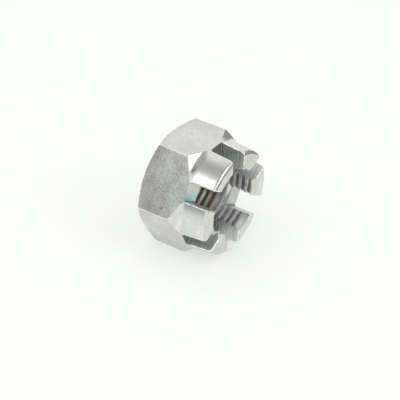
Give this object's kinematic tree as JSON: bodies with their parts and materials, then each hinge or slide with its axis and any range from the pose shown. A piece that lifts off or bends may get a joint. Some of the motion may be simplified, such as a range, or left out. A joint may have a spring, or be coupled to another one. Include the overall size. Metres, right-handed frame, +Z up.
{
  "type": "castle nut",
  "caption": "Hexagonal castle nut with a slotted crown for a split pin, a countersunk threaded bore and a chamfered bearing face.",
  "frame": {"origin": "centre of the bearing face, on the thread axis", "axes": "+X along the thread axis from the bearing face towards the slotted crown, +Z up through the middle of a flat, with the opposite flat on the ground"},
  "size_m": [0.0166, 0.0278, 0.024],
  "materials": {
    "plated_steel": "bright zinc plating, satin on the forged flats and turned on the crown"
  },
  "bodies": {
    "root": {"castle_nut": "plated_steel"}
  },
  "joints": []
}
